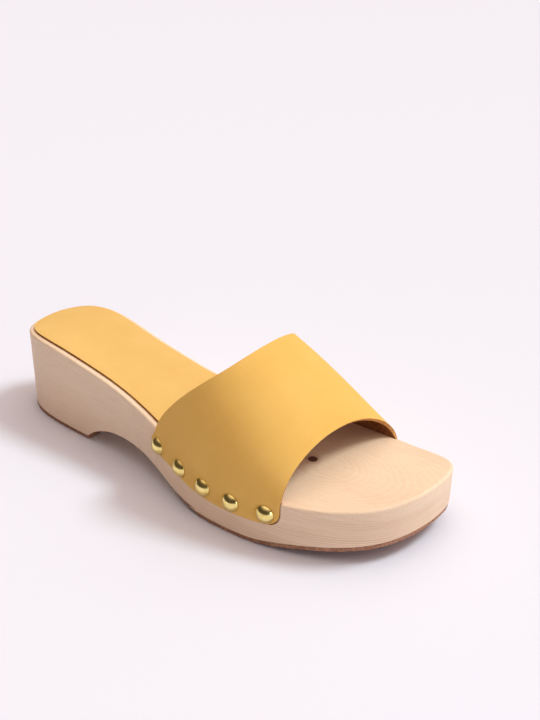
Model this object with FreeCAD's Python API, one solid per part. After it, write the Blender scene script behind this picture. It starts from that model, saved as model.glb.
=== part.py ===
"""Wooden clog for the right foot: an open-toed mule on a one-piece wooden sole.

Millimetres. +X runs from the heel to the toe, +Y to the inner side of the foot, +Z up.
The shapes are drawn with the back of the heel at x = 0 and the ground at z = 0, and are moved at the
end so that the middle of the bottom of the whole clog's box is the origin.
"""
import FreeCAD, Part
import math
import os
from FreeCAD import Vector

# Wooden sole, seen from above: points of one smooth closed curve, heel, outer side, toe, inner side.
SOLE_PLAN = [
    (0, 2), (8.5, -18.5), (33, -27.5), (76, -30.5), (115, -36), (144, -45), (170, -48.5),
    (198, -46.5), (224, -38), (243, -23.5), (252.5, -3.5), (255, 15), (250, 30.5), (228, 36),
    (195, 38.5), (155, 34), (114, 25), (73, 24), (30, 29.5), (7, 23),
]
OUTER_SIDE_SPAN = (1, 11)          # plan points between which the curve runs heel to toe
INNER_SIDE_SPAN = (19, 12)         # the same along the inner side, also heel to toe
PAST_ENDS = 3.0                    # how far the side view runs past heel and toe
# Wooden sole, seen from the side: height of its top, then of its underside behind and before the tread.
FOOTBED = [(-3, 45.8), (0, 46.2), (30, 48.5), (60, 45.4), (90, 40.2), (120, 33.1), (150, 28.5),
           (180, 26.7), (215, 26.8), (258, 31)]
ARCH = [(63, 3), (66.5, 6), (72, 9.2), (80, 12.3), (90, 13.8), (100, 13.7), (110, 12.3),
        (120, 9.8), (140, 5.2), (154, 3.4), (166, 2.7)]
TOE_SPRING = [(184, 2.7), (200, 4.6), (225, 8), (258, 11.8)]
SOLE_EDGE_ROUND = 1.3
HEEL_TAPER = 0.9                   # how far the heel draws in from top to bottom
TAPER_REACH = 70.0                 # length from the back of the heel over which the taper fades out

# Rubber under the sole.
HEEL_LIFT_THICKNESS = 3.0
HEEL_LIFT_INSET = 1.2
HEEL_BREAST = 62.5                 # front face of the heel lift
TREAD_INSET = 0.4
TREAD_BACK = 140.0
TREAD_BOTTOM_BACK = [(137, 4.6), (141, 3.6), (153, 1.0), (166, 0)]
TREAD_BOTTOM_FRONT = [(184, 0), (200, 1.9), (225, 5.3), (258, 9.1)]

# Leather insole, glued on the footbed from the heel to under the band.
INSOLE_THICKNESS = 1.2
INSOLE_INSET = 3.4
INSOLE_FRONT = 166.0

# Leather band. Each edge is given as x at five turns across the foot, from the outer to the inner side.
BAND_THICKNESS = 1.8
BAND_BACK_EDGE = [121.2, 154.1, 163.5, 156.4, 125.2]
BAND_FRONT_EDGE = [202.8, 203.6, 206.1, 211.2, 216.8]
FLAP_FLARE = 4.0                   # how far the flap's back edge runs on towards the heel going down
FLAP_CORNER = 6.5
OUTER_FLAP_BOTTOM = [(116, 19.2), (135, 17.9), (150, 14.9), (166, 13.2), (184, 13.0), (206, 15.2)]
INNER_FLAP_BOTTOM = [(114, 18.8), (132, 17.2), (152, 14.4), (175, 12.9), (194, 13.2), (220, 16.0)]
ARCH_HEIGHT = (54.4, -20.3, -7.1)  # over the footbed at ARCH_MIDDLE, then its slope and bend per ARCH_UNIT
ARCH_MIDDLE = 160.0
ARCH_UNIT = 40.0
ARCH_FULLNESS = (2.44, -0.26)      # at ARCH_MIDDLE and its slope: 2 is an ellipse, more is squarer
ARCH_LEAN = (6.5, -0.3)            # how far the crown sits towards the inner side, and its slope
LIFT_OFF = 1.0                     # the band leaves the side this far below the footbed
REBATE_DEPTH = 1.5                 # the flaps lie in a shallow step cut into the sole's sides
REBATE_CLEARANCE = 0.3
GLUE_GAP = 0.06
BAND_STATIONS = 17                 # sections from the back edge to the front edge
ARCH_STATIONS = 19
FLAP_STATIONS = 5

# Dome-headed brass nails: x and height of each, along the outer and the inner side.
NAIL_HEAD_RADIUS = 4.7
NAIL_HEAD_HEIGHT = 2.6
NAIL_SHANK_RADIUS = 0.9
NAIL_LENGTH = 14.0
NAIL_TIP = 2.5
HEAD_GAP = 0.05                    # the flat under the head stays this clear of the curved leather
NAILS = {
    "outer": [(122.9, 23.5), (142.2, 21.3), (159.5, 19.1), (176.7, 18.1), (195.4, 18.9)],
    "inner": [(129.5, 23.1), (148, 20.4), (168, 18.6), (187.0, 18.2), (205.5, 19.4)],
}

FAR = 90.0                         # past everything in Y and Z
SAME_DIRECTION = 1                 # a ruled surface joins its two edges start to start


def plan_loop(points):
    """Interpolate a closed plan curve whose parameter is the point's number."""
    curve = Part.BSplineCurve()
    vectors = [Vector(x, y, 0) for x, y in points]
    curve.interpolate(Points=vectors, PeriodicFlag=True, Parameters=list(range(len(points) + 1)))
    return curve


def smooth_curve(points, level_start=False, level_end=False):
    """Interpolate a side view's curve, whose parameter is x, level at an end where it meets a flat."""
    vectors = [Vector(x, 0, z) for x, z in points]
    stations = [x for x, z in points]
    curve = Part.BSplineCurve()
    if not (level_start or level_end):
        curve.interpolate(Points=vectors, Parameters=stations)
        return curve
    ends = []
    for start, end, level in ((vectors[0], vectors[1], level_start), (vectors[-2], vectors[-1], level_end)):
        chord = end - start
        ends.append(Vector(1, 0, 0 if level else chord.z / chord.x))
    curve.interpolate(Points=vectors, Parameters=stations, InitialTangent=ends[0], FinalTangent=ends[1])
    return curve


def outward(curve, u):
    """Unit vector pointing out of a counterclockwise plan curve."""
    along = curve.tangent(u)[0]
    return Vector(along.y, -along.x, 0)


plan_curve = plan_loop(SOLE_PLAN)
footbed_curve = smooth_curve(FOOTBED)


def plan_wire(inset, z, taper=0.0):
    """The sole's plan drawn in by inset, at height z, with the heel drawn in further by taper."""
    moved = []
    for number in range(len(SOLE_PLAN)):
        point = plan_curve.value(number) - outward(plan_curve, number) * inset
        fade = max(0.0, 1.0 - point.x / TAPER_REACH)
        moved.append((point.x + taper * fade, point.y - math.copysign(taper * fade, point.y)))
    edge = plan_loop(moved).toShape()
    edge.translate(Vector(0, 0, z))
    return Part.Wire(edge)


def plan_prism(inset, bottom=-FAR, top=FAR):
    return Part.Face(plan_wire(inset, bottom)).extrude(Vector(0, 0, top - bottom))


def side_prism(edges, y0=-FAR, y1=FAR):
    """Extrude a closed side view, given as edges in the plane y = 0, from y0 to y1."""
    face = Part.Face(Part.Wire(Part.__sortEdges__(edges)))
    face.translate(Vector(0, y0, 0))
    return face.extrude(Vector(0, y1 - y0, 0))


def line(start, end):
    return Part.makeLine(Vector(start[0], 0, start[1]), Vector(end[0], 0, end[1]))


def side_wall(side, x, out):
    """The point beside x on one side of the sole, moved out of the wood by out."""
    low, high = OUTER_SIDE_SPAN if side == "outer" else INNER_SIDE_SPAN
    for _ in range(50):
        middle = (low + high) / 2
        if plan_curve.value(middle).x < x:
            low = middle
        else:
            high = middle
    return plan_curve.value(low) + outward(plan_curve, low) * out


def make_sole():
    """One block of wood: its plan, drafted at the heel, cut to its side view and rounded on top."""
    block = Part.makeLoft([plan_wire(0, 0, HEEL_TAPER), plan_wire(0, FAR)], True, True)
    heel_end = -PAST_ENDS
    toe_end = FOOTBED[-1][0]
    edges = [
        footbed_curve.toShape(),
        line(FOOTBED[-1], (toe_end, TOE_SPRING[-1][1])),
        smooth_curve(TOE_SPRING, level_start=True).toShape(),
        line(TOE_SPRING[0], ARCH[-1]),
        smooth_curve(ARCH, level_end=True).toShape(),
        line(ARCH[0], (heel_end, HEEL_LIFT_THICKNESS)),
        line((heel_end, HEEL_LIFT_THICKNESS), FOOTBED[0]),
    ]
    sole = block.common(side_prism(edges)).Solids[0]
    rim = []
    for edge in sole.Edges:
        middle = edge.valueAt((edge.FirstParameter + edge.LastParameter) / 2)
        if abs(middle.z - footbed_curve.value(middle.x).z) < 0.05:
            rim.append(edge)
    return sole.makeFillet(SOLE_EDGE_ROUND, rim)


def make_rebate(side, bottom_points, back, front):
    """The shallow step that a flap lies in: everything outside the sole's plan drawn in by its depth."""
    bottom = smooth_curve(bottom_points)
    back_x = back - FLAP_FLARE - REBATE_CLEARANCE
    front_x = front + REBATE_CLEARANCE
    bottom.segment(back_x, front_x)
    low_back = bottom.value(back_x)
    low_front = bottom.value(front_x)
    flap_top = footbed_curve.value(back).z - LIFT_OFF
    lean = FLAP_FLARE / (flap_top - low_back.z)
    high_back_x = back_x + lean * (FAR - low_back.z)
    edges = [
        bottom.toShape(),
        line((low_front.x, low_front.z), (front_x, FAR)),
        line((front_x, FAR), (high_back_x, FAR)),
        line((high_back_x, FAR), (low_back.x, low_back.z)),
    ]
    y0, y1 = (-FAR, -10) if side == "outer" else (10, FAR)
    slab = side_prism(edges, y0, y1)
    slab.translate(Vector(0, 0, -REBATE_CLEARANCE))
    corners = [edge for edge in slab.Edges
               if abs(edge.Vertexes[0].Y - edge.Vertexes[-1].Y) > 1 and edge.CenterOfMass.z < FAR / 2]
    return slab.makeFillet(FLAP_CORNER, corners).cut(plan_prism(REBATE_DEPTH))


def across_turns(values, turn):
    """Smooth value at a turn from 0, on the outer side, to 1, on the inner side."""
    curve = smooth_curve(list(zip([0, 0.25, 0.5, 0.75, 1], values)))
    return curve.value(turn).z


def corner_rise(distance):
    """How far a flap's rounded corner stands above its bottom line, at a distance from its side edge."""
    if distance >= FLAP_CORNER:
        return 0.0
    return FLAP_CORNER - math.sqrt(FLAP_CORNER ** 2 - (FLAP_CORNER - distance) ** 2)


def flap_point(side, bottom, share, level, out):
    """A point on a flap: share runs from the back edge to the front, level from the bottom up."""
    turn = 0 if side == "outer" else 1
    back = across_turns(BAND_BACK_EDGE, turn) - FLAP_FLARE * (1 - level)
    front = across_turns(BAND_FRONT_EDGE, turn)
    x = back + (front - back) * share
    rise = corner_rise(x - back) + corner_rise(front - x)
    low = bottom.value(x).z + rise
    high = footbed_curve.value(x).z - LIFT_OFF
    return Vector(x, side_wall(side, x, out).y, low + (high - low) * level)


def arch_point(share, turn, out):
    """A point on the band where it bridges the foot."""
    back = across_turns(BAND_BACK_EDGE, turn)
    front = across_turns(BAND_FRONT_EDGE, turn)
    x = back + (front - back) * share
    outer = side_wall("outer", x, out).y
    inner = side_wall("inner", x, out).y
    along = (x - ARCH_MIDDLE) / ARCH_UNIT
    height = ARCH_HEIGHT[0] + ARCH_HEIGHT[1] * along + ARCH_HEIGHT[2] * along ** 2
    lean = ARCH_LEAN[0] + ARCH_LEAN[1] * along
    power = 2 / (ARCH_FULLNESS[0] + ARCH_FULLNESS[1] * along)
    across = math.cos(math.pi * turn)
    across = math.copysign(abs(across) ** power, across)
    up = abs(math.sin(math.pi * turn)) ** power
    y = (outer + inner) / 2 - (inner - outer) / 2 * across + lean * up
    return Vector(x, y, footbed_curve.value(x).z - LIFT_OFF + height * up)


def make_band():
    """One piece of leather, bent over the foot, with a flap down each side of the sole."""
    out = BAND_THICKNESS + GLUE_GAP - REBATE_DEPTH
    outer_bottom = smooth_curve(OUTER_FLAP_BOTTOM)
    inner_bottom = smooth_curve(INNER_FLAP_BOTTOM)
    rows = []
    for station in range(BAND_STATIONS):
        share = (1 - math.cos(math.pi * station / (BAND_STATIONS - 1))) / 2
        levels = [k / FLAP_STATIONS for k in range(FLAP_STATIONS)]
        row = [flap_point("outer", outer_bottom, share, level, out) for level in levels]
        row += [arch_point(share, k / (ARCH_STATIONS - 1), out) for k in range(ARCH_STATIONS)]
        row += [flap_point("inner", inner_bottom, share, level, out) for level in reversed(levels)]
        rows.append(row)
    outside = Part.BSplineSurface()
    outside.interpolate(rows)
    inside_rows = []
    for row in rows:
        inside_row = []
        for point in row:
            u, v = outside.parameter(point)
            away = outside.normal(u, v)
            to_axis = Vector(0, 0, footbed_curve.value(point.x).z) - Vector(0, point.y, point.z)
            if away.dot(to_axis) < 0:
                away = away * -1
            inside_row.append(point + away * BAND_THICKNESS)
        inside_rows.append(inside_row)
    inside = Part.BSplineSurface()
    inside.interpolate(inside_rows)
    faces = [outside.toShape(), inside.toShape()]
    u0, u1, v0, v1 = outside.bounds()
    a0, a1, b0, b1 = inside.bounds()
    for one, other in (
        (outside.uIso(u0), inside.uIso(a0)),
        (outside.uIso(u1), inside.uIso(a1)),
        (outside.vIso(v0), inside.vIso(b0)),
        (outside.vIso(v1), inside.vIso(b1)),
    ):
        faces.append(Part.makeRuledSurface(one.toShape(), other.toShape(), SAME_DIRECTION))
    shell = Part.makeShell(faces)
    shell.sewShape()
    band = Part.makeSolid(shell.Shells[0] if shell.Shells else shell)
    if band.Volume < 0:
        band.reverse()
    return band


def nail_seat(side, x, z):
    """Where a nail's head meets the leather, with +Z of the nail pointing level out of the sole."""
    surface = BAND_THICKNESS + GLUE_GAP - REBATE_DEPTH
    foot = side_wall(side, x, surface + HEAD_GAP)
    direction = foot - side_wall(side, x, 0)
    return FreeCAD.Placement(Vector(foot.x, foot.y, z), FreeCAD.Rotation(Vector(0, 0, 1), direction))


def make_nail(seat):
    """A dome-headed nail driven level into the sole's side, its head against the leather."""
    half = NAIL_HEAD_RADIUS
    height = NAIL_HEAD_HEIGHT
    ball = (half ** 2 + height ** 2) / (2 * height)
    middle_angle = math.asin(half / ball) / 2
    middle = Vector(ball * math.sin(middle_angle), 0, height - ball + ball * math.cos(middle_angle))
    corners = [
        Vector(0, 0, height), Vector(0, 0, -NAIL_LENGTH),
        Vector(NAIL_SHANK_RADIUS, 0, NAIL_TIP - NAIL_LENGTH), Vector(NAIL_SHANK_RADIUS, 0, 0),
        Vector(half, 0, 0),
    ]
    edges = [Part.makeLine(a, b) for a, b in zip(corners, corners[1:])]
    edges.append(Part.Arc(corners[-1], middle, corners[0]).toShape())
    nail = Part.Face(Part.Wire(edges)).revolve(Vector(0, 0, 0), Vector(0, 0, 1), 360)
    nail.Placement = seat
    return nail


def make_drill(seat):
    """A rod as thick as a nail's shank, through the leather at a nail's seat."""
    reach = 2 * BAND_THICKNESS
    drill = Part.makeCylinder(NAIL_SHANK_RADIUS, 2 * reach, Vector(0, 0, -reach))
    drill.Placement = seat
    return drill


def make_insole():
    """A thin sheet on the footbed, set in from the sole's edge."""
    lifted = footbed_curve.copy()
    lifted.translate(Vector(0, 0, INSOLE_THICKNESS))
    under = footbed_curve.copy()
    for curve in (lifted, under):
        curve.segment(FOOTBED[0][0], INSOLE_FRONT)
    edges = [
        under.toShape(), lifted.toShape(),
        Part.makeLine(under.EndPoint, lifted.EndPoint),
        Part.makeLine(under.StartPoint, lifted.StartPoint),
    ]
    return plan_prism(INSOLE_INSET).common(side_prism(edges)).Solids[0]


def make_tread():
    """The rubber under the ball of the foot and the toes, thinned towards its back edge."""
    arch = smooth_curve(ARCH, level_end=True)
    arch.segment(TREAD_BACK, ARCH[-1][0])
    spring = smooth_curve(TOE_SPRING, level_start=True)
    back = smooth_curve(TREAD_BOTTOM_BACK, level_end=True)
    back.segment(TREAD_BACK, TREAD_BOTTOM_BACK[-1][0])
    front = smooth_curve(TREAD_BOTTOM_FRONT, level_start=True)
    edges = [
        arch.toShape(),
        line(ARCH[-1], TOE_SPRING[0]),
        spring.toShape(),
        line(TOE_SPRING[-1], TREAD_BOTTOM_FRONT[-1]),
        front.toShape(),
        line(TREAD_BOTTOM_FRONT[0], TREAD_BOTTOM_BACK[-1]),
        back.toShape(),
        Part.makeLine(back.StartPoint, arch.StartPoint),
    ]
    return plan_prism(TREAD_INSET).common(side_prism(edges)).Solids[0]


def make_heel_lift():
    cutter = Part.makeBox(
        HEEL_BREAST + PAST_ENDS, 2 * FAR, HEEL_LIFT_THICKNESS, Vector(-PAST_ENDS, -FAR, 0))
    return plan_prism(HEEL_LIFT_INSET).common(cutter).Solids[0]


sole = make_sole()
sole = sole.cut(make_rebate("outer", OUTER_FLAP_BOTTOM, BAND_BACK_EDGE[0], BAND_FRONT_EDGE[0]))
sole = sole.cut(make_rebate("inner", INNER_FLAP_BOTTOM, BAND_BACK_EDGE[-1], BAND_FRONT_EDGE[-1]))
band = make_band()
nails = {}
for side, places in NAILS.items():
    for number, (x, z) in enumerate(places, 1):
        seat = nail_seat(side, x, z)
        nail = make_nail(seat)
        sole = sole.cut(nail)
        band = band.cut(make_drill(seat))
        nails[f"dome_nail_{side}_{number}"] = nail

parts = {
    "wooden_sole": sole.Solids[0],
    "leather_insole": make_insole(),
    "leather_band": band.Solids[0],
    "rubber_tread": make_tread(),
    "rubber_heel_lift": make_heel_lift(),
}
parts.update(nails)

box = Part.makeCompound(list(parts.values())).optimalBoundingBox(True, False)
to_origin = Vector(-(box.XMin + box.XMax) / 2, -(box.YMin + box.YMax) / 2, -box.ZMin)
print("size", [round(v, 2) for v in (box.XLength, box.YLength, box.ZLength)], "moved by", to_origin)

os.makedirs("parts", exist_ok=True)
for name, shape in parts.items():
    shape.translate(to_origin)
    shape.exportStep(f"parts/{name}.step")
    print(f"{name}: valid {shape.isValid()}, solids {len(shape.Solids)}, volume {shape.Volume:.1f}")
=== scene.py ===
"""A wooden clog for the right foot on a pale floor: metres, +X to the toe, +Y to the inner side."""
import math
import bmesh
import bpy
from mathutils import Matrix, Vector, noise
from mathutils.bvhtree import BVHTree


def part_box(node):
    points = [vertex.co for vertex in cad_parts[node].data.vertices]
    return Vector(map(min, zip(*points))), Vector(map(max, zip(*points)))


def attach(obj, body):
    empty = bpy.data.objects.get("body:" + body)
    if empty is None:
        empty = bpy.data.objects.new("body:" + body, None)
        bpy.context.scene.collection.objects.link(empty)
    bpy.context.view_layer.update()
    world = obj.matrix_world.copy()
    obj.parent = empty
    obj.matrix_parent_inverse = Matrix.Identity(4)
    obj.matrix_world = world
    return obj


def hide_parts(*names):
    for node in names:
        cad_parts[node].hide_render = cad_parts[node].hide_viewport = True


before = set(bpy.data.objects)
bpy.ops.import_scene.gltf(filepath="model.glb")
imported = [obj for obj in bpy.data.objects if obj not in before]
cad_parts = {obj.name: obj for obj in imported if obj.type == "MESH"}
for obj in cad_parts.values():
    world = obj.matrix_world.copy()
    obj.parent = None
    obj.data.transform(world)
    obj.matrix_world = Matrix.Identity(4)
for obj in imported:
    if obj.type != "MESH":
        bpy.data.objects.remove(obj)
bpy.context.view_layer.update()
MM = 0.001

# ---------------------------------------------------------------------------------------------------
# Studio: a pale paper floor under a warm glowing ceiling, a broad key lamp high past the toe's inner side
# and a small cool lamp low in front of the toe. The camera looks down on the clog's outer side and toe.
# ---------------------------------------------------------------------------------------------------
CAMERA_TARGET = Vector((-2.66, 59.18, 35.69)) * MM
CAMERA_AZIMUTH = math.radians(35.21)
CAMERA_ELEVATION = math.radians(26.82)
CAMERA_ROLL = 0.025
CAMERA_DISTANCE = 0.5387
CAMERA_LENS = 47.75
CAMERA_SENSOR = 36.0
CAMERA_NEAR = 0.01


def towards(azimuth, elevation):
    """Unit vector at an azimuth from +X to +Y and an elevation, both in degrees."""
    turn, rise = math.radians(azimuth), math.radians(elevation)
    return Vector((math.cos(turn) * math.cos(rise), math.sin(turn) * math.cos(rise), math.sin(rise)))


def link(name, data):
    piece = bpy.data.objects.new(name, data)
    bpy.context.scene.collection.objects.link(piece)
    return piece


def mesh_piece(name, bm, materials):
    """Turn a finished bmesh into a smooth object that wears these materials."""
    mesh = bpy.data.meshes.new(name)
    for face in bm.faces:
        face.smooth = True
    bm.to_mesh(mesh)
    bm.free()
    for material in materials:
        mesh.materials.append(material)
    return link(name, mesh)


def srgb(red, green, blue):
    """A colour given as 0 to 255 on screen, as the linear colour that a shader takes."""
    linear = []
    for level in (red, green, blue):
        share = level / 255
        linear.append(share / 12.92 if share <= 0.04045 else ((share + 0.055) / 1.055) ** 2.4)
    return (*linear, 1.0)


class Flow:
    """One socket of a material's nodes. Sums on it add Math nodes, and node() adds any other kind."""

    def __init__(self, tree, socket):
        self.tree = tree
        self.socket = socket

    def node(self, kind, settings=None, sockets=None, out=0):
        made = self.tree.nodes.new(kind)
        for name, setting in (settings or {}).items():
            setattr(made, name, setting)
        for name, value in (sockets or {}).items():
            if isinstance(value, Flow):
                self.tree.links.new(value.socket, made.inputs[name])
            else:
                made.inputs[name].default_value = value
        return Flow(self.tree, made.outputs[out])

    def maths(self, operation, *values, clamp=False):
        settings = {"operation": operation, "use_clamp": clamp}
        return self.node("ShaderNodeMath", settings, dict(enumerate(values)))

    def __add__(self, other):
        return self.maths("ADD", self, other)

    def __sub__(self, other):
        return self.maths("SUBTRACT", self, other)

    def __mul__(self, other):
        return self.maths("MULTIPLY", self, other)

    def __truediv__(self, other):
        return self.maths("DIVIDE", self, other)

    def __pow__(self, other):
        return self.maths("POWER", self, other)

    def __rsub__(self, other):
        return self.maths("SUBTRACT", other, self)

    __radd__ = __add__
    __rmul__ = __mul__

    def root(self):
        return self.maths("SQRT", self)

    def step(self, low, high):
        """0 below low, 1 above high and smooth between them; the other way round if low is over high."""
        settings = {"interpolation_type": "SMOOTHSTEP"}
        if low < high:
            return self.node("ShaderNodeMapRange", settings, {"Value": self, 1: low, 2: high})
        return 1 - self.node("ShaderNodeMapRange", settings, {"Value": self, 1: high, 2: low})

    def axes(self):
        parts = self.node("ShaderNodeSeparateXYZ", sockets={0: self}).socket.node
        return [Flow(self.tree, parts.outputs[axis]) for axis in range(3)]

    def scaled(self, x, y, z):
        return self.node("ShaderNodeVectorMath", {"operation": "MULTIPLY"}, {0: self, 1: (x, y, z)})

    def grain(self, scale=1.0, detail=2.0, roughness=0.5):
        """Noise from 0 to 1 over this vector."""
        sockets = {"Vector": self, "Scale": scale, "Detail": detail, "Roughness": roughness}
        return self.node("ShaderNodeTexNoise", sockets=sockets)

    def mix(self, one, other):
        """The first colour where this value is 0 and the other where it is 1."""
        sockets = {0: self, 6: one, 7: other}
        return self.node("ShaderNodeMix", {"data_type": "RGBA"}, sockets, out=2)


def new_material(name, source="Object"):
    """An empty material, and the place on the piece that its pattern reads, in metres."""
    material = bpy.data.materials.new(name)
    material.use_nodes = True
    tree = material.node_tree
    tree.nodes.clear()
    start = tree.nodes.new("ShaderNodeTexCoord")
    return material, Flow(tree, start.outputs[source])


def finish_material(place, base, roughness, height=None, depth=MM, **fixed):
    """Lead the colour, roughness and relief into one Principled shader; fixed are its plain settings."""
    sockets = {"Base Color": base, "Roughness": roughness}
    if height is not None:
        sockets["Normal"] = place.node(
            "ShaderNodeBump", sockets={"Height": height, "Strength": 1.0, "Distance": depth})
    for name, value in fixed.items():
        sockets[name.replace("_", " ")] = value
    shader = place.node("ShaderNodeBsdfPrincipled", sockets=sockets)
    output = place.tree.nodes.new("ShaderNodeOutputMaterial")
    place.tree.links.new(shader.socket, output.inputs["Surface"])


FLOOR_SIZE = 8.0
FLOOR_WHITE = srgb(232, 234, 248)
material, place = new_material("studio_paper")
finish_material(place, FLOOR_WHITE, 0.9, Specular_IOR_Level=0.1)
bm = bmesh.new()
bmesh.ops.create_grid(bm, x_segments=1, y_segments=1, size=FLOOR_SIZE / 2)
floor = mesh_piece("floor", bm, [material])

KEY_FROM = towards(50, 54)
KEY_STRENGTH = 1.62
KEY_SPREAD = math.radians(18)
KEY_COLOUR = (0.88, 1.0, 1.0)
key_light = bpy.data.lights.new("key_lamp", "SUN")
key_light.energy = KEY_STRENGTH
key_light.angle = KEY_SPREAD
key_light.color = KEY_COLOUR
key_lamp = link("key_lamp", key_light)
key_lamp.rotation_euler = KEY_FROM.to_track_quat("Z", "Y").to_euler()

FILL_FROM = towards(-15, 10)
FILL_DISTANCE = 1.0
FILL_SIZE = 0.3
FILL_POWER = 1.4
FILL_COLOUR = (0.85, 0.93, 1.0)
fill_light = bpy.data.lights.new("fill_lamp", "AREA")
fill_light.shape = "SQUARE"
fill_light.size = FILL_SIZE
fill_light.energy = FILL_POWER
fill_light.color = FILL_COLOUR
fill_lamp = link("fill_lamp", fill_light)
fill_lamp.location = FILL_FROM * FILL_DISTANCE
fill_lamp.rotation_euler = FILL_FROM.to_track_quat("Z", "Y").to_euler()

ROOM_TOP = 1.38                    # brightness at the middle of the ceiling
ROOM_LOW = 0.09                    # and low round the walls
ROOM_COLOUR = (1.0, 0.82, 0.71, 1.0)
CEILING = Vector((0.05, 0.25, 0.97))    # towards its middle, a little past the inner side
CEILING_RIM, CEILING_FULL = 0.35, 0.95  # cosines off that direction where its glow begins and is full
world = bpy.data.worlds.new("room")
world.use_nodes = True
world.node_tree.nodes.clear()
sky = world.node_tree.nodes.new("ShaderNodeTexCoord")
look = Flow(world.node_tree, sky.outputs["Generated"])
overhead = look.node("ShaderNodeVectorMath", {"operation": "DOT_PRODUCT"}, {0: look, 1: CEILING}, out=1)
glow = overhead.step(CEILING_RIM, CEILING_FULL) * (ROOM_TOP - ROOM_LOW) + ROOM_LOW
room = look.node("ShaderNodeBackground", sockets={"Color": ROOM_COLOUR, "Strength": glow})
ceiling = world.node_tree.nodes.new("ShaderNodeOutputWorld")
world.node_tree.links.new(room.socket, ceiling.inputs["Surface"])
bpy.context.scene.world = world
bpy.context.scene.view_settings.view_transform = "Standard"

back_off = Vector((
    math.sin(CAMERA_AZIMUTH) * math.cos(CAMERA_ELEVATION),
    -math.cos(CAMERA_AZIMUTH) * math.cos(CAMERA_ELEVATION),
    math.sin(CAMERA_ELEVATION)))
level_right = Vector((math.cos(CAMERA_AZIMUTH), math.sin(CAMERA_AZIMUTH), 0))
upright = back_off.cross(level_right)
right = level_right * math.cos(CAMERA_ROLL) + upright * math.sin(CAMERA_ROLL)
up = upright * math.cos(CAMERA_ROLL) - level_right * math.sin(CAMERA_ROLL)
camera_data = bpy.data.cameras.new("camera")
camera_data.sensor_width = CAMERA_SENSOR
camera_data.lens = CAMERA_LENS
camera_data.clip_start = CAMERA_NEAR
camera = link("camera", camera_data)
turned = Matrix((right, up, back_off)).transposed().to_4x4()
camera.matrix_world = Matrix.Translation(CAMERA_TARGET + back_off * CAMERA_DISTANCE) @ turned
bpy.context.scene.camera = camera

# ---------------------------------------------------------------------------------------------------
# Wooden sole: one block of pale close-grained wood, sawn, sanded and left almost bare. Its rings bend
# round a small dark knot under the ball of the foot, and show as level lines down the toe's sides.
# ---------------------------------------------------------------------------------------------------
KNOT_X, KNOT_Y = 65.8 * MM, 0.5 * MM
KNOT_RADIUS = 2.5 * MM
KNOT_FOOT, KNOT_HEAD = 16 * MM, 20 * MM     # the knot fades in between these heights
SWIRL_REACH = 15 * MM              # the rings bend round the knot out to here
SWIRL = 5 * MM                     # and by this much beside it
RING_HEART = Vector((70.5, 0.5, 31.0)) * MM
RING_PITCH = 2.0 * MM
RING_STRETCH = 0.75                # under 1, the rings lie further apart along the sole than across it
RING_DEPTH = 2.0                   # over 1, they lie closer together in height
LAYER_PITCH = 1.3 * MM             # down the toe's sides the rings show as level lines this far apart
RING_REACH = 70 * MM               # beyond this from the heart the rings run straight along the sole
RING_YEARS = 7.31                  # a ring's number times this gives how dark that year's ring is
WALL_TOP, WALL_FOOT = 25 * MM, 21 * MM      # the rings give way to level lines from one height to the next
WALL_BACK, WALL_FRONT = 20 * MM, 50 * MM    # and from one place along the sole to the next
LATE_DARK = 0.19                   # how dark the late wood of a ring is on top
WALL_DARK = 0.45                   # and how much darker on the toe's sides
WOOD_PALE = srgb(249, 222, 193)
WOOD_DARK = srgb(220, 170, 134)
FLECK_BROWN = srgb(176, 120, 84)
KNOT_BROWN = srgb(88, 52, 34)


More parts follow.
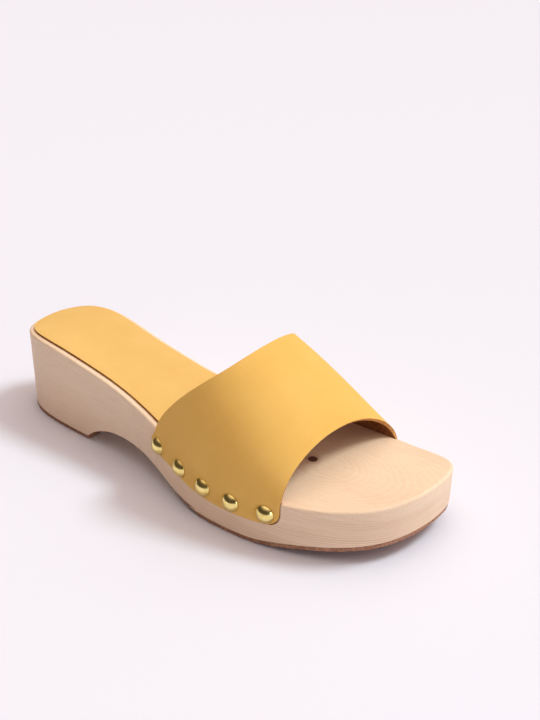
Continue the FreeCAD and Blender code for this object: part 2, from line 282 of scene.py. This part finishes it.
def wood_material():
    material, place = new_material("pale_wood")
    x, y, z = place.axes()
    warp = place.grain(22, 2) - 0.5
    fine_warp = place.scaled(60, 190, 190).grain(1, 2) - 0.5
    along = (x - RING_HEART.x) / RING_REACH
    along = along.maths("TANH", along) * (RING_REACH * RING_STRETCH)
    across = y - RING_HEART.y
    high = (z - RING_HEART.z) * RING_DEPTH
    far = (along * along + across * across + high * high).root() + warp * (4 * MM) + fine_warp * (0.7 * MM)
    knot_x, knot_y = x - KNOT_X, y - KNOT_Y
    knot_far = (knot_x * knot_x + knot_y * knot_y).root() + warp * (2 * MM)
    near_top = z.step(KNOT_FOOT, KNOT_HEAD)
    knot = knot_far.step(KNOT_RADIUS * 1.2, KNOT_RADIUS * 0.8) * near_top
    swirl = knot_far.step(SWIRL_REACH, 2 * MM) * SWIRL
    ring = (far + swirl) / RING_PITCH
    late = ring.maths("FRACT", ring) ** 3
    level = (z + warp * (1.5 * MM) + fine_warp * (0.5 * MM)) / LAYER_PITCH
    level = level.maths("FRACT", level) ** 2
    walls = z.step(WALL_TOP, WALL_FOOT) * x.step(WALL_BACK, WALL_FRONT)
    late = late * (1 - walls) + level * walls
    season = ring.maths("FLOOR", ring) * RING_YEARS
    season = season.maths("SINE", season) * 0.25 + 0.75
    fibre = place.scaled(28, 900, 900).grain(1, 3, 0.6) * (1 - walls)
    fibre = fibre + place.scaled(30, 30, 1100).grain(1, 3, 0.6) * walls
    cloud = place.scaled(8, 30, 30).grain(1, 2)
    fleck = place.scaled(240, 1500, 1500).grain(1, 1).step(0.64, 0.72)
    plain = x.step(-30 * MM, 40 * MM) * 0.75 + 0.25
    dark = late * season * plain * (LATE_DARK + walls * WALL_DARK)
    dark = dark + (fibre - 0.5) * 0.5 + (cloud - 0.5) * 0.5
    dark = dark.maths("ADD", dark, 0.12, clamp=True)
    colour = dark.mix(WOOD_PALE, WOOD_DARK)
    colour = (fleck * 0.12).mix(colour, FLECK_BROWN)
    halo = knot_far.step(KNOT_RADIUS * 2.4, KNOT_RADIUS) * near_top * 0.35
    colour = halo.mix(colour, FLECK_BROWN)
    colour = knot.mix(colour, KNOT_BROWN)
    height = fibre * 0.5 + late * 0.3 - fleck * 0.5 - knot * 2
    finish_material(place, colour, 0.46 + fibre * 0.16 + knot * 0.2, height, 0.05 * MM)
    return material


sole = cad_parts["wooden_sole"]
sole.data.materials.clear()
sole.data.materials.append(wood_material())


def merged_copy(node):
    """A bmesh of a CAD node's surface with its loose triangles joined up."""
    bm = bmesh.new()
    bm.from_mesh(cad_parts[node].data)
    bmesh.ops.remove_doubles(bm, verts=bm.verts, dist=0.001 * MM)
    return bm


wood_shape = merged_copy("wooden_sole")
wood_tree = BVHTree.FromBMesh(wood_shape)
wood_shape.free()
PROBE_START = 0.2
PROBE_ASIDE = 0.3 * MM             # off the middle line, where the wood's surface has a seam


def footbed(x):
    """Height of the wood's top at x along the middle of the sole."""
    start = Vector((x, PROBE_ASIDE, PROBE_START))
    return wood_tree.ray_cast(start, Vector((0, 0, -1)))[0].z


def side_of_wood(side, x, z):
    """y of the wood's side wall at x and z, on the outer side, -1, or the inner side, 1."""
    return wood_tree.ray_cast(Vector((x, side * PROBE_START, z)), Vector((0, -side, 0)))[0].y


# ---------------------------------------------------------------------------------------------------
# Insole: thin yellow nubuck with a dark burnished edge, its brown partly painted shade, cut a little
# smaller than the footbed and glued down. It ends under the band, so the toes stand on bare wood.
# ---------------------------------------------------------------------------------------------------
INSOLE_CELL = 3 * MM
INSOLE_THICKNESS = 1.2 * MM
INSOLE_GLUE = 0.02 * MM
INSOLE_DENT = 0.12 * MM            # how far it rises and sinks over its length
INSOLE_DENTS = 55                  # more puts the dents closer together
WORN_EDGE = 0.3 * MM               # cut leather edges are rounded by this much
INSOLE = srgb(236, 192, 114)
INSOLE_LOW = srgb(224, 173, 92)
INSOLE_HIGH = srgb(245, 208, 138)
# The edge's two browns are partly the burnished leather's own colour and partly painted shade along the
# edge.
INSOLE_EDGE_PALE_BURNISH_AND_SHADE = srgb(176, 120, 58)
INSOLE_EDGE_DARK_BURNISH_AND_SHADE = srgb(138, 88, 38)
SHEEN_YELLOW = srgb(255, 226, 160)


def nubuck_material(name, source, streaks, low, middle, high):
    """Buffed leather: a nap of very short fibres that lies in faint streaks, mottled where it was rubbed."""
    material, place = new_material(name, source)
    nap = place.grain(2600, 2, 0.7)
    streak = place.scaled(*streaks).grain(1, 3, 0.55)
    mottle = place.grain(38, 3, 0.6)
    pores = place.grain(900, 2).step(0.63, 0.72)
    tone = (mottle - 0.5) * 0.9 + (streak - 0.5) * 0.35 + (nap - 0.5) * 0.5
    lighter = tone.maths("MULTIPLY", tone, 1.0, clamp=True)
    darker = tone.maths("MULTIPLY", tone, -1.0, clamp=True)
    colour = lighter.mix(middle, high)
    colour = darker.mix(colour, low)
    colour = (pores * 0.12).mix(colour, low)
    height = nap * 0.6 + mottle * 0.8 - pores * 0.4
    finish_material(place, colour, 0.84 + (nap - 0.5) * 0.16, height, 0.09 * MM,
                    Sheen_Weight=0.18, Sheen_Roughness=0.45, Sheen_Tint=SHEEN_YELLOW,
                    Specular_IOR_Level=0.25)
    return material


def cut_edge_material(name, pale, dark, along):
    """A knife-cut leather edge: dense fibres in thin layers."""
    material, place = new_material(name)
    layers = place.scaled(*along).grain(1, 3, 0.6)
    fibres = place.grain(2200, 2, 0.7)
    colour = (layers * 0.7 + fibres * 0.3).step(0.3, 0.7).mix(dark, pale)
    finish_material(place, colour, 0.88, fibres, 0.08 * MM, Specular_IOR_Level=0.2)
    return material


bm = merged_copy("leather_insole")
under = [face for face in bm.faces if face.normal.z < 0.5]
bmesh.ops.delete(bm, geom=under, context="FACES")
for vertex in bm.verts:
    vertex.co.z = 0
bmesh.ops.dissolve_limit(bm, angle_limit=math.radians(1), verts=bm.verts, edges=bm.edges)
low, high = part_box("leather_insole")
for axis in (0, 1):
    cuts = int((high[axis] - low[axis]) / INSOLE_CELL)
    for cut in range(1, cuts + 1):
        point = Vector((0, 0, 0))
        point[axis] = low[axis] + cut * INSOLE_CELL
        direction = Vector((0, 0, 0))
        direction[axis] = 1
        geometry = bm.verts[:] + bm.edges[:] + bm.faces[:]
        bmesh.ops.bisect_plane(bm, geom=geometry, dist=0.01 * MM, plane_co=point, plane_no=direction)
bmesh.ops.recalc_face_normals(bm, faces=bm.faces)
if sum(face.normal.z for face in bm.faces) < 0:
    bmesh.ops.reverse_faces(bm, faces=bm.faces)
for vertex in bm.verts:
    dent = noise.noise(vertex.co * INSOLE_DENTS) * INSOLE_DENT
    vertex.co.z = footbed(vertex.co.x) + INSOLE_GLUE + INSOLE_THICKNESS + dent
insole_top = nubuck_material("insole_nubuck", "Object", (25, 70, 25), INSOLE_LOW, INSOLE, INSOLE_HIGH)
# The insole's edge gets browns that are partly burnish and partly painted shade.
insole_edge_burnish_and_shade = cut_edge_material("insole_edge_burnish_and_shade", INSOLE_EDGE_PALE_BURNISH_AND_SHADE, INSOLE_EDGE_DARK_BURNISH_AND_SHADE, (120, 120, 1500))
insole = mesh_piece("insole", bm, [insole_top, insole_edge_burnish_and_shade])


def thicken(piece, thickness, inside, rim):
    """Give a sheet its thickness inwards, and round its cut edges a little."""
    wall = piece.modifiers.new("thickness", "SOLIDIFY")
    wall.thickness = thickness
    wall.offset = -1
    wall.use_even_offset = True
    wall.material_offset = inside
    wall.material_offset_rim = rim
    edge = piece.modifiers.new("softened_edges", "BEVEL")
    edge.width = WORN_EDGE
    edge.segments = 3
    edge.limit_method = "ANGLE"
    edge.angle_limit = math.radians(50)


thicken(insole, INSOLE_THICKNESS, 1, 1)
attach(insole, "root")
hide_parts("leather_insole")

# ---------------------------------------------------------------------------------------------------
# Band: one strip of thick yellow nubuck, flesh side in and its edges cut raw. It is pulled over a last
# while damp, laid in the shallow steps of the sole's sides and nailed there.
# ---------------------------------------------------------------------------------------------------
HEEL_BACK = -127.7 * MM            # x of the back of the heel, from which the band's edges are measured
BAND_THICKNESS = 1.8 * MM
BAND_OFF_WOOD = 0.06 * MM
BAND_BACK_EDGE = [121.2, 154.1, 163.5, 156.4, 125.2]      # at five turns, outer side to inner side
BAND_FRONT_EDGE = [202.8, 203.6, 206.1, 211.2, 216.8]
FLAP_BOTTOM = {
    -1: [(116, 19.2), (135, 17.9), (150, 14.9), (166, 13.2), (184, 13.0), (206, 15.2)],
    1: [(114, 18.8), (132, 17.2), (152, 14.4), (175, 12.9), (194, 13.2), (220, 16.0)],
}
FLAP_FLARE = 4.0                   # how far a flap's back edge runs towards the heel on its way down
FLAP_CORNER = 6.5
ARCH_HEIGHT = (54.4, -20.3, -7.1)  # at the middle, its slope and its bend, each per 40 mm along the sole
ARCH_MIDDLE = 160.0
ARCH_UNIT = 40.0
ARCH_FULLNESS = (2.44, -0.26)      # at the middle and its slope: 2 is an ellipse, more is squarer
ARCH_LEAN = (6.5, -0.3)            # of the crown to the inner side, at the middle and its slope
LIFT_OFF = 1.0                     # the flaps end and the arch begins this far under the footbed's height
FLAP_PART = 0.085                  # each flap's part of the strip's length
WALL_DEPTH = 3.5 * MM              # how far under the footbed the side walls are felt
WALL_STATIONS = 9


def smooth_through(points, at):
    """Smooth curve through points given as (station, value), with each slope set by its neighbours."""
    slopes = []
    chords = [(b[1] - a[1]) / (b[0] - a[0]) for a, b in zip(points, points[1:])]
    for number in range(1, len(points) - 1):
        before = points[number][0] - points[number - 1][0]
        after = points[number + 1][0] - points[number][0]
        slopes.append((chords[number - 1] * after + chords[number] * before) / (before + after))
    slopes.insert(0, 2 * chords[0] - slopes[0])
    slopes.append(2 * chords[-1] - slopes[-1])
    span = max(n for n in range(len(chords)) if n == 0 or points[n][0] <= at)
    (x0, y0), (x1, y1) = points[span], points[span + 1]
    width = x1 - x0
    t = (at - x0) / width
    fall = 2 * t ** 3 - 3 * t ** 2 + 1
    start, stop = slopes[span] * width, slopes[span + 1] * width
    return fall * y0 + (1 - fall) * y1 + (t ** 3 - 2 * t ** 2 + t) * start + (t ** 3 - t ** 2) * stop


def across_turns(values, turn):
    return smooth_through(list(zip((0, 0.25, 0.5, 0.75, 1), values)), turn)


def wall_line(side):
    """The wood's side wall under a flap, as (x, y) stations in metres."""
    turn = 0 if side < 0 else 1
    first = HEEL_BACK + across_turns(BAND_BACK_EDGE, turn) * MM
    last = HEEL_BACK + across_turns(BAND_FRONT_EDGE, turn) * MM
    line = []
    for station in range(WALL_STATIONS):
        x = first + (last - first) * station / (WALL_STATIONS - 1)
        line.append((x, side_of_wood(side, x, footbed(x) - WALL_DEPTH)))
    return line


WALLS = {side: wall_line(side) for side in (-1, 1)}


def outward(side, x):
    """Unit vector level out of the sole's side at x, and the wall's y there."""
    step = 0.5 * MM
    y = smooth_through(WALLS[side], x)
    slope = (smooth_through(WALLS[side], x + step) - smooth_through(WALLS[side], x - step)) / (2 * step)
    return Vector((-side * slope, side, 0)).normalized(), y


def flap_face(side, x):
    """y of the leather's outer face beside x."""
    away, y = outward(side, x)
    return y + (BAND_OFF_WOOD + BAND_THICKNESS) / away.y


def corner_rise(distance):
    """How far a flap's rounded corner stands above its bottom line, in millimetres."""
    if distance >= FLAP_CORNER:
        return 0.0
    return FLAP_CORNER - math.sqrt(FLAP_CORNER ** 2 - (FLAP_CORNER - distance) ** 2)


def on_flap(side, share, level):
    turn = 0 if side < 0 else 1
    back = across_turns(BAND_BACK_EDGE, turn) - FLAP_FLARE * (1 - level)
    front = across_turns(BAND_FRONT_EDGE, turn)
    along = back + (front - back) * share
    rise = corner_rise(along - back) + corner_rise(front - along)
    bottom = (smooth_through(FLAP_BOTTOM[side], along) + rise) * MM
    x = HEEL_BACK + along * MM
    top = footbed(x) - LIFT_OFF * MM
    return Vector((x, flap_face(side, x), bottom + (top - bottom) * level))


def on_arch(share, turn):
    back = across_turns(BAND_BACK_EDGE, turn)
    front = across_turns(BAND_FRONT_EDGE, turn)
    along = back + (front - back) * share
    x = HEEL_BACK + along * MM
    outer, inner = flap_face(-1, x), flap_face(1, x)
    reach = (along - ARCH_MIDDLE) / ARCH_UNIT
    height = (ARCH_HEIGHT[0] + ARCH_HEIGHT[1] * reach + ARCH_HEIGHT[2] * reach ** 2) * MM
    lean = (ARCH_LEAN[0] + ARCH_LEAN[1] * reach) * MM
    power = 2 / (ARCH_FULLNESS[0] + ARCH_FULLNESS[1] * reach)
    sideways = math.cos(math.pi * turn)
    sideways = math.copysign(abs(sideways) ** power, sideways)
    rise = abs(math.sin(math.pi * turn)) ** power
    y = (outer + inner) / 2 - (inner - outer) / 2 * sideways + lean * rise
    return Vector((x, y, footbed(x) - LIFT_OFF * MM + height * rise))


nail_places = {}
for node in sorted(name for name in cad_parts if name.startswith("dome_nail")):
    low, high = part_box(node)
    nail_places[node] = (-1 if "outer" in node else 1, (low + high) / 2)
DIMPLE_DEPTH = 0.35 * MM           # the leather is pulled in by this much under a nail's head
DIMPLE_RADIUS = 6.5 * MM
DIMPLE_FALL = 1.5                  # more makes a dimple fade faster away from its nail
STRIP_WIDTH = 70 * MM              # the scale of the nap's pattern, from edge to edge and end to end
STRIP_LENGTH = 190 * MM
CELLS_ACROSS = 60
CELLS_ALONG = 168
NUBUCK = srgb(239, 189, 99)
NUBUCK_LOW = srgb(226, 169, 78)
NUBUCK_HIGH = srgb(247, 205, 122)
FLESH_PALE = srgb(172, 114, 70)
FLESH_DARK = srgb(126, 76, 44)
BAND_EDGE_PALE = srgb(224, 168, 104)
BAND_EDGE_DARK = srgb(178, 120, 66)


def pressed(point, side):
    """How far the nails pull the leather in at a point of a flap."""
    pull = 0.0
    for nail_side, centre in nail_places.values():
        if nail_side == side:
            reach = math.hypot(point.x - centre.x, point.z - centre.z) / DIMPLE_RADIUS
            pull += DIMPLE_DEPTH * math.exp(-reach ** 2 * DIMPLE_FALL)
    return pull


bm = bmesh.new()
bmesh.ops.create_grid(bm, x_segments=CELLS_ACROSS, y_segments=CELLS_ALONG, size=0.5)
strip_map = bm.loops.layers.uv.new("strip")
flat_place = {vertex: Vector((vertex.co.x + 0.5, vertex.co.y + 0.5)) for vertex in bm.verts}
for face in bm.faces:
    for corner in face.loops:
        share, turn = flat_place[corner.vert]
        corner[strip_map].uv = (share * STRIP_WIDTH, turn * STRIP_LENGTH)
for vertex, (grid_share, turn) in flat_place.items():
    share = (1 - math.cos(math.pi * grid_share)) / 2
    if turn < FLAP_PART:
        spot = on_flap(-1, share, turn / FLAP_PART)
        side = -1
    elif turn > 1 - FLAP_PART:
        spot = on_flap(1, share, (1 - turn) / FLAP_PART)
        side = 1
    else:
        spot = on_arch(share, (turn - FLAP_PART) / (1 - 2 * FLAP_PART))
        side = -1 if turn < 0.5 else 1
    away, _ = outward(side, spot.x)
    vertex.co = spot - away * pressed(spot, side)
bmesh.ops.recalc_face_normals(bm, faces=bm.faces)
bm.faces.ensure_lookup_table()
crown = max(bm.faces, key=lambda face: face.calc_center_median().z)
if crown.normal.z < 0:
    bmesh.ops.reverse_faces(bm, faces=bm.faces)


def flesh_material():
    """The inside of the hide: tan, matt, with loose short fibres."""
    material, place = new_material("flesh_side", "UV")
    fluff = place.scaled(900, 300, 900).grain(1, 3, 0.65)
    blotch = place.grain(60, 2)
    colour = (fluff * 0.7 + blotch * 0.3).step(0.3, 0.72).mix(FLESH_DARK, FLESH_PALE)
    finish_material(place, colour, 0.92, fluff, 0.15 * MM, Specular_IOR_Level=0.15)
    return material


band_top = nubuck_material("band_nubuck", "UV", (260, 22, 1), NUBUCK_LOW, NUBUCK, NUBUCK_HIGH)
band_edge = cut_edge_material("band_cut_edge", BAND_EDGE_PALE, BAND_EDGE_DARK, (900, 900, 900))
band = mesh_piece("band", bm, [band_top, flesh_material(), band_edge])
thicken(band, BAND_THICKNESS, 1, 2)
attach(band, "root")
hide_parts("leather_band")

# ---------------------------------------------------------------------------------------------------
# Dome nails: brass-plated caps on short steel shanks, driven level through the leather into the wood.
# Each cap is a shallow dome whose lip is rolled over against the leather.
# ---------------------------------------------------------------------------------------------------
NAIL_RADIUS = 4.9 * MM
NAIL_HEIGHT = 3.0 * MM
NAIL_LIP = 0.35 * MM
SHANK_RADIUS = 0.9 * MM
SHANK_LENGTH = 14 * MM
SHANK_TIP = 2.5 * MM
NAIL_STEPS = 40
DOME_STEPS = 12
LIP_TURNS = (20, 55, 90, 130, 180)      # degrees round the rolled lip, from the dome to its underside
SUNK = 0.6                         # a head sits this part of the way down its dimple
BRASS = srgb(246, 226, 150)
BRASS_STAINED = srgb(232, 204, 120)


def brass_material():
    material, place = new_material("brass")
    rub = place.scaled(700, 700, 1500).grain(1, 2)
    stain = place.grain(420, 2, 0.6)
    colour = stain.step(0.35, 0.75).mix(BRASS, BRASS_STAINED)
    roughness = 0.13 + rub * 0.1 + stain.step(0.5, 0.8) * 0.08
    finish_material(place, colour, roughness, rub, 0.01 * MM, Metallic=1.0)
    return material


def nail_shape():
    """A nail with its head's underside at z = 0 and its shank down, made by one spin of its outline."""
    ball = (NAIL_RADIUS ** 2 + NAIL_HEIGHT ** 2) / (2 * NAIL_HEIGHT)
    widest = math.asin(NAIL_RADIUS / ball)
    outline = []
    for step in range(DOME_STEPS + 1):
        angle = widest * step / DOME_STEPS
        outline.append((ball * math.sin(angle), NAIL_HEIGHT - ball + ball * math.cos(angle)))
    for turn in LIP_TURNS:
        lean = math.radians(turn)
        reach = NAIL_RADIUS - NAIL_LIP * (0.5 - math.sin(lean))
        outline.append((reach, -NAIL_LIP * (1 - math.cos(lean)) * 0.5))
    outline += [(SHANK_RADIUS, -NAIL_LIP), (SHANK_RADIUS, SHANK_TIP - SHANK_LENGTH), (0, -SHANK_LENGTH)]
    shape = bmesh.new()
    line = [shape.verts.new((x, 0, z)) for x, z in outline]
    edges = [shape.edges.new(pair) for pair in zip(line, line[1:])]
    bmesh.ops.spin(shape, geom=line + edges, cent=(0, 0, 0), axis=(0, 0, 1), angle=math.tau,
                   steps=NAIL_STEPS, use_merge=True, use_duplicate=False)
    bmesh.ops.remove_doubles(shape, verts=shape.verts, dist=0.001 * MM)
    bmesh.ops.recalc_face_normals(shape, faces=shape.faces)
    return shape


brass = brass_material()
for node, (side, centre) in nail_places.items():
    away, _ = outward(side, centre.x)
    seat = Vector((centre.x, flap_face(side, centre.x), centre.z)) - away * DIMPLE_DEPTH * SUNK
    bm = nail_shape()
    turn = Vector((0, 0, 1)).rotation_difference(away).to_matrix().to_4x4()
    bmesh.ops.transform(bm, matrix=Matrix.Translation(seat) @ turn, verts=bm.verts)
    nail = mesh_piece(node.replace("dome_nail", "brass_nail"), bm, [brass])
    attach(nail, "root")
    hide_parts(node)

# ---------------------------------------------------------------------------------------------------
# Rubber: a brown crepe tread under the ball and toes, and a thinner lift under the heel. Both are cut
# from sheet with a knife, glued on and trimmed roughly round the wood.
# ---------------------------------------------------------------------------------------------------
RUBBER_VOXEL = 0.6 * MM
RUBBER_RAGGED = 0.28 * MM          # how far the knife strayed as it trimmed the edge
COARSE_RAGS, FINE_RAGS = 260, 700       # more puts the nicks closer together
FINE_SHARE = 0.6                   # strength of the fine nicks, where the coarse ones have 1
RUBBER_DARK = srgb(150, 102, 78)
RUBBER_PALE = srgb(192, 142, 114)
RUBBER_CRUMB = srgb(190, 150, 120)


def rubber_material():
    material, place = new_material("crepe_rubber")
    pebble = place.grain(700, 3, 0.6)
    crumb = place.grain(1900, 2, 0.7)
    stain = place.grain(70, 3, 0.6)
    colour = (pebble * 0.6 + stain * 0.4).step(0.35, 0.65).mix(RUBBER_DARK, RUBBER_PALE)
    colour = (crumb.step(0.66, 0.74) * 0.5).mix(colour, RUBBER_CRUMB)
    finish_material(place, colour, 0.86 + (crumb - 0.5) * 0.1, pebble + crumb * 0.4, 0.35 * MM,
                    Specular_IOR_Level=0.3)
    return material


def rubber_piece(name, node, material):
    """Rebuild a CAD slab in fine cells, and roughen the edges that were trimmed by hand."""
    block = mesh_piece(name, merged_copy(node), [material])
    cells = block.modifiers.new("fine_cells", "REMESH")
    cells.mode = "VOXEL"
    cells.voxel_size = RUBBER_VOXEL
    fine = bpy.data.meshes.new_from_object(block.evaluated_get(bpy.context.evaluated_depsgraph_get()))
    bpy.data.objects.remove(block)
    bm = bmesh.new()
    bm.from_mesh(fine)
    bpy.data.meshes.remove(fine)
    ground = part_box(node)[0].z
    for vertex in bm.verts:
        ragged = noise.noise(vertex.co * COARSE_RAGS) + FINE_SHARE * noise.noise(vertex.co * FINE_RAGS)
        level = Vector((vertex.normal.x, vertex.normal.y, 0))
        vertex.co += level * ragged * RUBBER_RAGGED
        vertex.co.z = max(vertex.co.z, ground)
    block = mesh_piece(name, bm, [material])
    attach(block, "root")
    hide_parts(node)


rubber = rubber_material()
rubber_piece("crepe_tread", "rubber_tread", rubber)
rubber_piece("crepe_heel_lift", "rubber_heel_lift", rubber)
